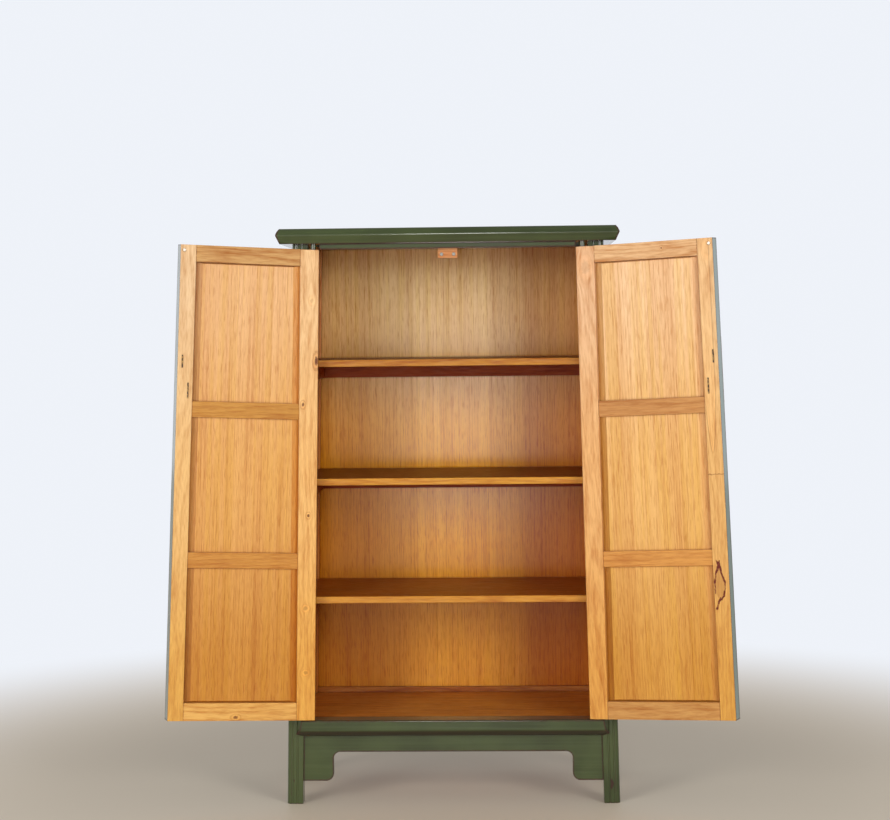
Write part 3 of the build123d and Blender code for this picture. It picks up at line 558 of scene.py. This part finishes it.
for side, aside in OUTWARDS.items():
    share = back_boards.rise(back_boards.dot(spot, aside), *SHADE_ASIDE)
    low_down = back_boards.rise(height, *SHADE_HEIGHTS, 1, SHADE_ABOVE[side])
    share = back_boards.both(share, low_down)
    colour = back_boards.mix(share, colour, BACK_SHADE[side], "MULTIPLY")
share = back_boards.rise(height, *TOP_SHADOW_HEIGHTS, 0, TOP_PAINTED_SHADOW)
varnish = back_boards.mix(share, colour, STAIN, "MULTIPLY"), rough, lift
wash = board_coat(back_boards, spot, BACK_WASH, seed=27)
outside = back_boards.facing(BACKWARD)
coats(back_boards, outside, varnish, wash, BACK_GLOSS, BACK_POLISH_ROUGH)
back_boards.set(Specular_IOR_Level=BACK_SHEEN)
dress("back_panel", back_boards)


def varnished(name, wood, grain, seed):
    f = Finish(name)
    lay(f, *solid_coat(f, f.place(), wood, grain, seed))
    return f


BEAD_WOOD = (166, 96, 24)
dress("back_bead", varnished("bead wood", BEAD_WOOD, "X", seed=29))

# ---- Floor board, shelves and cleats
# The floor board lies flush with the sill. Shelves rest on dark red-brown cleats along the back and
# both ends; their front edges are planed and varnished golden, their tops much darker.

FLOOR_WOOD = (200, 128, 48)
dress("floor_board", varnished("floor board wood", FLOOR_WOOD, "X", seed=31))

SHELF_EDGE = {"lower": (204, 140, 48), "middle": (208, 146, 48), "upper": (190, 128, 46)}
SHELF_TOP = {"lower": (160, 80, 10), "middle": (112, 34, 0), "upper": (112, 34, 0)}
CLEAT_WOOD = (150, 60, 0)
CLEAT_SHEEN = 0.1
for number, level in enumerate(("lower", "middle", "upper")):
    shelf = Finish("shelf wood " + level)
    spot = shelf.place()
    dark, rough, lift = solid_coat(shelf, spot, SHELF_TOP[level], "X", seed=33 + number)
    planed = solid_coat(shelf, spot, SHELF_EDGE[level], "X", seed=36 + number)[0]
    lay(shelf, shelf.mix(shelf.facing(FORWARD), dark, planed), rough, lift)
    dress("shelf_" + level, shelf)
    back_cleat = varnished("cleat wood " + level, CLEAT_WOOD, "X", seed=39 + number)
    side_cleats = varnished("side cleat wood " + level, CLEAT_WOOD, "Y", seed=42 + number)
    for piece, cleat in (("cleat_back_", back_cleat), ("cleats_side_", side_cleats)):
        cleat.set(Specular_IOR_Level=CLEAT_SHEEN)
        dress(piece + level, cleat)

# ---- Top
# Four mitred members with a ridge along the edge, round a panel set flush, all lacquered; two
# battens under the panel are left brown.

TOP_WEAR = 0.85
TOP_POLISH = 0.85
for sides, grain in ((("back", "front"), "X"), (("left", "right"), "Y")):
    for number, side in enumerate(sides):
        green = lacquer("lacquer top " + side, grain, 54 + number, TOP_WEAR, TOP_POLISH)
        dress("top_frame_" + side, green)
dress("top_panel", lacquer("lacquer top panel", "X", seed=56))
TOP_BATTEN_WOOD = (128, 62, 26)
for side in ("left", "right"):
    dress("top_batten_" + side, varnished("top batten wood " + side, TOP_BATTEN_WOOD, "Y", seed=57))

# ---- Header strip and catch
# A lacquered strip between the pivots closes the gap over the doors. Behind its middle hangs a
# pale block with two round magnets.

HEADER_POLISH = 0.5
dress("header_strip", lacquer("lacquer header", "X", seed=58, gloss=HEADER_POLISH))
BLOCK_WOOD = (214, 150, 96)
dress("catch_block", varnished("catch block wood", BLOCK_WOOD, "X", seed=60))

STEEL = paint(150, 148, 142)
STEEL_DARK = paint(40, 34, 28)
STEEL_SPECKS = 900
STEEL_LIMITS = (0.3, 0.7)
STEEL_ROUGH = (0.4, 0.6)
STEEL_CORNERS = (0.02, 0.2)
STEEL_EDGES = (0.1, 0.3)
FITTING_ARRIS = 0.0012
FITTING_REACH = 0.002


def steel(name, colour=STEEL):
    """Dull steel, dark where it meets the wood."""
    f = Finish(name)
    dull = f.rise(f.noise(f.place(), STEEL_SPECKS, 3), *STEEL_LIMITS, *STEEL_ROUGH)
    corners = f.rise(f.hollow(FITTING_REACH), *STEEL_CORNERS)
    rim = f.either(corners, f.rise(f.arris(FITTING_ARRIS), *STEEL_EDGES))
    f.set(Base_Color=f.mix(rim, colour, STEEL_DARK), Metallic=1.0, Roughness=dull)
    return f


dress("catch_magnets", steel("magnet steel"))

# ---- Doors
# Each door is a frame of two stiles and two rails round a panel bevelled inside, with two battens
# across it. Inside it is golden varnish with knots; outside and round its edges it is lacquered.

MIDDLE = (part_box("top_frame_front")[0].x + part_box("top_frame_front")[1].x) / 2
JOINTS = {joint["name"]: joint for joint in frame["joints"]}


def shut(side):
    """The matrix from an open door to the shut one, counted from the cabinet's middle and front."""
    joint = JOINTS[side + "_door_hinge"]
    low, high = joint["range_deg"]
    angle = math.radians(high if side == "left" else low)
    pivot = Vector(joint["pos_m"])
    turn = Matrix.Rotation(angle, 4, Vector(joint["axis"]))
    home = Matrix.Translation((-MIDDLE, -POST_FRONT, 0))
    return home @ Matrix.Translation(pivot) @ turn @ Matrix.Translation(-pivot)


def door_spot(f, side):
    """Where on the shut door the surface is, in metres."""
    home = shut(side)
    return f.step("Mapping", Vector=f.place(), Location=home.translation, Rotation=home.to_euler())


def door_facing(f, side, direction, low=0.5, high=0.7):
    """1 where the face points in a direction of the shut door."""
    return f.facing(shut(side).to_3x3().inverted() @ Vector(direction), low, high)


def oval_away(f, spot, x, z, wide, tall):
    """How far an upright oval's middle is: 1 on its rim."""
    scale = (1 / wide, 0, 1 / tall)
    return f.vector("LENGTH", f.moved(spot, (-x / wide, 0, -z / tall), scale), out="Value")


# Knots by x, z, half width, half height in metres on the shut door, and how dark each is.
KNOTS = {
    "left hinge_stile": [
        (-0.299, 0.949, 0.0035, 0.006, 0.85),
        (-0.327, 1.052, 0.005, 0.012, 0.95),
        (-0.320, 0.689, 0.0035, 0.005, 0.9),
        (-0.320, 0.470, 0.006, 0.006, 0.35),
        (-0.325, 0.318, 0.006, 0.005, 0.35),
        (-0.312, 1.192, 0.005, 0.007, 0.2),
    ],
    "left bottom_rail": [(-0.164, 0.213, 0.007, 0.0045, 0.8)],
    "right top_rail": [(0.124, 1.295, 0.0025, 0.003, 0.8)],
    "right hinge_stile": [(0.305, 1.262, 0.012, 0.02, 0.2)],
    "right meeting_stile": [(0.018, 1.285, 0.009, 0.016, 0.1)],
}
KNOT = paint(104, 50, 22)
KNOT_GLOW = (1.12, 1.1, 1.05, 1)
KNOT_SPECKS = 260
KNOT_RAGGED = 0.9
# How far from a knot's middle each thing reaches, in half sizes of the knot.
HEART_AWAY = (0.5, 1.05)
GLOW_AWAY = (1.0, 2.6)
RING_AWAY = 1.7
RING_WIDE = (0.1, 0.45)
LED_AWAY = (0.4, 3.6)
GLOW_SHARE = 0.8
RING_SHARE = 0.4
LED_SQUEEZE = 0.25


def lead_round(f, spot, grain, x, z, wide, tall):
    """Leads the grain round a knot: where to draw it, and how far the knot is, 1 at its rim."""
    away = oval_away(f, spot, x, z, wide, tall)
    squeeze = f.rise(away, *LED_AWAY, LED_SQUEEZE, 1)
    factors = (1.0, 1.0, squeeze) if grain == "X" else (squeeze, 1.0, 1.0)
    from_knot = f.vector("SUBTRACT", spot, (x, 0, z))
    offset = f.vector("MULTIPLY", from_knot, f.step("CombineXYZ", *factors))
    return f.vector("ADD", offset, (x, 0, z)), away


def draw_knots(f, colour, spot, rims):
    """Dark hearts, each in a pale halo with a thin brown ring."""
    specks = f.noise(spot, KNOT_SPECKS, 3)
    ragged = f.maths("MULTIPLY_ADD", specks, KNOT_RAGGED, -KNOT_RAGGED / 2)
    for away, dark in rims:
        away = f.maths("ADD", away, ragged)
        glow = f.rise(away, *GLOW_AWAY, GLOW_SHARE, 0)
        colour = f.mix(glow, colour, KNOT_GLOW, "MULTIPLY")
        from_ring = f.maths("ABSOLUTE", f.maths("SUBTRACT", away, RING_AWAY))
        ring = f.rise(from_ring, *RING_WIDE, RING_SHARE * dark, 0)
        colour = f.mix(ring, colour, CORNER_STAIN, "MULTIPLY")
        colour = f.mix(f.rise(away, *HEART_AWAY, dark, 0), colour, KNOT)
    return colour


# The leaning edge of the shut left door is this far from the cabinet's middle, taken at the floor.
HINGE_EDGE = -0.35556
HINGE_STILE = 0.0435
MEETING_STILE = 0.0405
JOINT_LINE = (0.0008, 0.0024)
JOINT_SPECKS = 120
JOINT_LIMITS = (0.35, 0.6)
JOINT_SHARES = (0.3, 0.8)


def joint_lines(f, spot, mirror):
    """The fine dark lines where the rails meet the stiles."""
    x = f.dot(spot, (mirror, 0, 0))
    lean_x = f.maths("MULTIPLY_ADD", f.dot(spot, UP), -LEAN, x)
    past_hinge_stile = f.maths("SUBTRACT", lean_x, HINGE_EDGE + HINGE_STILE)
    past_meeting_stile = f.maths("SUBTRACT", x, -DOOR_GAP / 2 - MEETING_STILE)
    offsets = (f.maths("ABSOLUTE", past) for past in (past_hinge_stile, past_meeting_stile))
    nearest = f.maths("MINIMUM", *offsets)
    broken = f.rise(f.noise(spot, JOINT_SPECKS, 3), *JOINT_LIMITS, *JOINT_SHARES)
    return f.both(f.rise(nearest, *JOINT_LINE, 1, 0), broken)


TONGUE_TIP = (0.028, 0.817)
TONGUE_WIDE = 0.0125
TONGUE_LONG = 0.13
TONGUE_POINTED = 0.6
TONGUE_PALE = (1.1, 1.08, 1.04, 1)
TONGUE_RIM = (-0.0005, 0.0008)
TONGUE_LINE = (0.0003, 0.0014)
TONGUE_LINE_SHARE = 0.5
TONGUE_LINE_FROM = 0.05
SCARF_HEIGHT = 0.772
SCARF_WAVE = 0.006
SCARF_SPECKS = 150
SCARF_LINE = (0.0004, 0.0016)
SCARF_SHARE = 0.75


def draw_tongue(f, colour, spot):
    """The right meeting stile: pale heartwood that ends in a tongue, and a scarf joint under it."""
    tip_x, tip_z = TONGUE_TIP
    height = f.dot(spot, UP)
    up = f.maths("MULTIPLY_ADD", height, 1 / TONGUE_LONG, -tip_z / TONGUE_LONG, clamp=True)
    half = f.both(f.maths("POWER", up, TONGUE_POINTED), TONGUE_WIDE)
    aside = f.maths("ABSOLUTE", f.maths("SUBTRACT", f.dot(spot, RIGHT), tip_x))
    inside = f.maths("SUBTRACT", half, aside)
    colour = f.mix(f.rise(inside, *TONGUE_RIM), colour, TONGUE_PALE, "MULTIPLY")
    line = f.rise(f.maths("ABSOLUTE", inside), *TONGUE_LINE, TONGUE_LINE_SHARE, 0)
    line = f.both(line, f.rise(up, 0, TONGUE_LINE_FROM))
    colour = f.mix(line, colour, CORNER_STAIN, "MULTIPLY")
    wave = f.noise(spot, SCARF_SPECKS)
    wave = f.maths("MULTIPLY_ADD", wave, SCARF_WAVE, -SCARF_WAVE / 2 - SCARF_HEIGHT)
    away = f.maths("ABSOLUTE", f.maths("ADD", height, wave))
    scarf = f.rise(away, *SCARF_LINE, SCARF_SHARE, 0)
    return f.mix(scarf, colour, CORNER_STAIN, "MULTIPLY")


SPLIT = [
    [
        (32.4, 575.0, 2.0),
        (28.2, 563.6, 4.0),
        (33.9, 549.8, 2.4),
        (38.4, 532.9, 2.2),
        (38.6, 499.0, 1.0),
    ],
    [
        (25.7, 573.0, 1.8),
        (28.2, 563.6, 4.0),
        (22.9, 547.0, 2.0),
        (16.1, 525.8, 1.8),
        (16.3, 506.9, 1.0),
        (19.6, 492.8, 2.4),
        (24.8, 484.0, 1.8),
        (28.2, 487.0, 2.2),
        (33.0, 473.9, 1.7),
        (37.6, 462.1, 2.2),
    ],
]
SPLIT_BROWN = paint(104, 32, 16)
SPLIT_SHAKES = 90
SPLIT_SHAKE = 0.008
SPLIT_SPECKS = 130
SPLIT_LIMITS = (0.36, 0.5)
SPLIT_FAINTEST = 0.55
SLIP = (0.028, 0.52, 0.0115, 0.036)
SLIP_RIM = (0.85, 1.05)
SLIP_DULL = (0.8, 0.74, 0.7, 1)


def draw_split(f, colour, spot):
    """A long dark split round a duller slip of wood, low on the right meeting stile."""
    shake = f.step("TexNoise", out="Color", Vector=spot, Scale=SPLIT_SHAKES, Detail=3)
    middle = f.vector("ADD", spot, (-SPLIT_SHAKE / 2, 0, -SPLIT_SHAKE / 2))
    bent = f.vector("MULTIPLY_ADD", shake, (SPLIT_SHAKE, 0, SPLIT_SHAKE), middle)
    slip = f.rise(oval_away(f, bent, *SLIP), *SLIP_RIM, 1, 0)
    colour = f.mix(slip, colour, SLIP_DULL, "MULTIPLY")
    patchy = f.rise(f.noise(spot, SPLIT_SPECKS, 3), *SPLIT_LIMITS, SPLIT_FAINTEST, 1)
    for strand in SPLIT:
        colour = f.mix(f.both(draw_line(f, bent, strand), patchy), colour, SPLIT_BROWN)
    return colour


PANEL_WOOD = [(213, 152, 65), (234, 181, 107), (240, 196, 145)]
# Each upright bevel is darkened by its own tone, partly as painted shade by the way it faces.
FREE_BEVEL_SHADE = {"left": (0.72, 0.64, 0.56, 1), "right": (0.92, 0.84, 0.76, 1)}
HINGE_BEVEL_SHADE = {"left": (0.875, 0.72, 0.42, 1), "right": (0.66, 0.56, 0.38, 1)}
HINGE_BEVEL_DIRT_AND_SHADE = 0.1
BEVEL_TURN = (0.1, 0.2)


def panel_coat(f, spot, side, mirror, tint, seed):
    """A panel's varnish; its two upright bevels have tones of their own, partly painted shade."""
    free = door_facing(f, side, (mirror, 0, 0), *BEVEL_TURN)
    hinged = door_facing(f, side, (-mirror, 0, 0), *BEVEL_TURN)
    dirt_and_shade = f.rise(hinged, 0, 1, CORNER_DIRT_AND_SHADE, HINGE_BEVEL_DIRT_AND_SHADE)
    colour, rough, lift = board_coat(f, spot, PANEL_WOOD, seed, dirt_and_shade=dirt_and_shade)
    for share, shade in ((1.0, tint), (free, FREE_BEVEL_SHADE[side]), (hinged, HINGE_BEVEL_SHADE[side])):
        colour = f.mix(share, colour, shade, "MULTIPLY")
    return colour, rough, lift


FRAME_WOOD = [(226, 167, 79), (235, 185, 116), (233, 193, 145)]
FIGURE = {
    "hinge_stile": 0.75,
    "meeting_stile": 0.6,
    "top_rail": 1.1,
    "bottom_rail": 0.85,
    "batten_upper": 0.7,
    "batten_lower": 0.7,
}
HINGE_STILE_DIRT_AND_SHADE = 0.2


def frame_coat(f, spot, side, piece, mirror, tint, grain, seed):
    """A stile's, rail's or batten's varnish, with its knots and what else is drawn on it."""
    led = spot
    rims = []
    for *knot, dark in KNOTS.get(side + " " + piece, []):
        led, away = lead_round(f, led, grain, *knot)
        rims.append((away, dark))
    dirt_and_shade = HINGE_STILE_DIRT_AND_SHADE if piece == "hinge_stile" else CORNER_DIRT_AND_SHADE
    colour, rough, lift = solid_coat(f, led, FRAME_WOOD, grain, seed, FIGURE[piece], dirt_and_shade)
    colour = draw_knots(f, f.mix(1.0, colour, tint, "MULTIPLY"), spot, rims)
    if piece.endswith("rail"):
        colour = f.mix(joint_lines(f, spot, mirror), colour, CORNER_STAIN, "MULTIPLY")
    if (side, piece) == ("right", "meeting_stile"):
        colour = draw_split(f, draw_tongue(f, colour, spot), spot)
    return colour, rough, lift


# The edges of a shut left door that each piece is part of; the right door's are their mirror image.
EDGES = {
    "hinge_stile": [UP, DOWN],
    "meeting_stile": [RIGHT, UP, DOWN],
    "top_rail": [UP],
    "bottom_rail": [DOWN],
}


def lacquered(f, side, piece, mirror):
    """1 where a door's piece is lacquered: its outer face, the door's edges and the pivots."""
    outside = door_facing(f, side, FORWARD)
    for x, y, z in EDGES.get(piece, []):
        outside = f.either(outside, door_facing(f, side, (mirror * x, y, z)))
    if piece == "hinge_stile":
        outside = f.either(outside, f.rise(f.height(), DOOR_HEAD, DOOR_HEAD + SOFT))
    return outside


# Each board's own tone, over that of its kind of wood.
TINTS = {
    "left": {
        "hinge_stile": (1.05, 1.05, 1.0, 1),
        "meeting_stile": (1.0, 1.05, 1.1, 1),
        "top_rail": (0.75, 0.65, 0.45, 1),
        "bottom_rail": (1.05, 1.15, 1.5, 1),
        "panel": (0.95, 0.9, 0.85, 1),
        "batten_upper": (0.7, 0.55, 0.25, 1),
        "batten_lower": (0.75, 0.6, 0.35, 1),
    },
    "right": {
        "hinge_stile": (1.0, 0.95, 1.0, 1),
        "meeting_stile": (0.95, 0.95, 0.9, 1),
        "top_rail": (0.95, 0.9, 0.85, 1),
        "bottom_rail": (0.8, 0.8, 1.15, 1),
        "panel": (1.05, 1.1, 1.2, 1),
        "batten_upper": (0.7, 0.55, 0.4, 1),
        "batten_lower": (0.85, 0.7, 0.5, 1),
    },
}
# The meeting edges are painted paler and bluer, as a reflection of the pale room.
LACQUER_PAINTED_SHEEN = {"left": paint(150, 160, 154), "right": paint(124, 142, 138)}
DOOR_POLISH = 1.0
DOOR_SEED = 70
for side, mirror in (("left", 1), ("right", -1)):
    for number, (piece, tint) in enumerate(TINTS[side].items()):
        wood = Finish("door wood " + side + " " + piece)
        spot = door_spot(wood, side)
        seed = DOOR_SEED + 2 * number + mirror
        grain = "Z" if piece in ("hinge_stile", "meeting_stile", "panel") else "X"
        if piece == "panel":
            varnish = panel_coat(wood, spot, side, mirror, tint, seed)
        else:
            varnish = frame_coat(wood, spot, side, piece, mirror, tint, grain, seed)
        shades = []
        if piece == "meeting_stile":
            shades = [(door_facing(wood, side, (mirror, 0, 0)), LACQUER_PAINTED_SHEEN[side])]
        green = lacquer_coat(wood, spot, grain, seed, shades=shades)
        outside = lacquered(wood, side, piece, mirror)
        coats(wood, outside, varnish, green, wood.rise(outside, 0, 1, 0, DOOR_POLISH))
        dress("door_" + side + "_" + piece, wood)

# ---- Brass and steel on the doors
# A round plate in two halves, a staple for a padlock and a drop pull, all of aged brass; the split
# pins that hold them are bent flat inside. A steel screw in each door meets its magnet.

BRASS = paint(178, 142, 78)
BRASS_DULL = paint(112, 82, 44)
BRASS_PATCHES = 40
BRASS_LIMITS = (0.35, 0.7)
BRASS_ROUGH = (0.3, 0.55)
BRASS_RUBBED = (0.12, 0.3)
BRASS_RAGGED = 0.2
BRASS_SPECKS = 300
BRASS_PITS = 500
BRASS_RELIEF = 0.0001
# Split pins: dark oxide, with small bright brass patches that are also painted glints.
PIN_DARK = paint(46, 28, 20)
PIN_AGE = 3.0
PIN_SHINE = 0.25
PIN_GLINT_PATCHES = 210
SCREW_STEEL = paint(236, 222, 206)


def brass(name, age=0.5, dull=BRASS_DULL, shine=1.0, patches=BRASS_PATCHES):
    """Aged brass, dull in patches and rubbed bright on its arrises."""
    f = Finish(name)
    spot = f.place()
    cloud = f.rise(f.noise(spot, patches, 4), *BRASS_LIMITS)
    specks = f.noise(spot, BRASS_SPECKS, 3)
    rubbed = f.maths("MULTIPLY_ADD", specks, BRASS_RAGGED, f.arris(FITTING_ARRIS))
    bright = f.both(f.rise(rubbed, *BRASS_RUBBED), shine)
    aged = f.maths("SUBTRACT", cloud, bright, clamp=True)
    aged = f.maths("MULTIPLY", aged, age, clamp=True)
    rough = f.rise(aged, 0, 1, *BRASS_ROUGH)
    f.set(Base_Color=f.mix(aged, BRASS, dull), Metallic=shine, Roughness=rough)
    f.bump(f.noise(spot, BRASS_PITS, 3), BRASS_RELIEF)
    return f


for side in ("left", "right"):
    door = "door_" + side + "_"
    for piece in ("lock_plate", "pull"):
        dress(door + piece, brass("brass " + side + " " + piece))
    for piece in ("lock_staple", "pull_staple"):
        pin = brass("pin " + side + " " + piece, PIN_AGE, PIN_DARK, PIN_SHINE, PIN_GLINT_PATCHES)
        dress(door + piece, pin)
    dress(door + "catch_screw", steel("screw steel " + side, SCREW_STEEL))
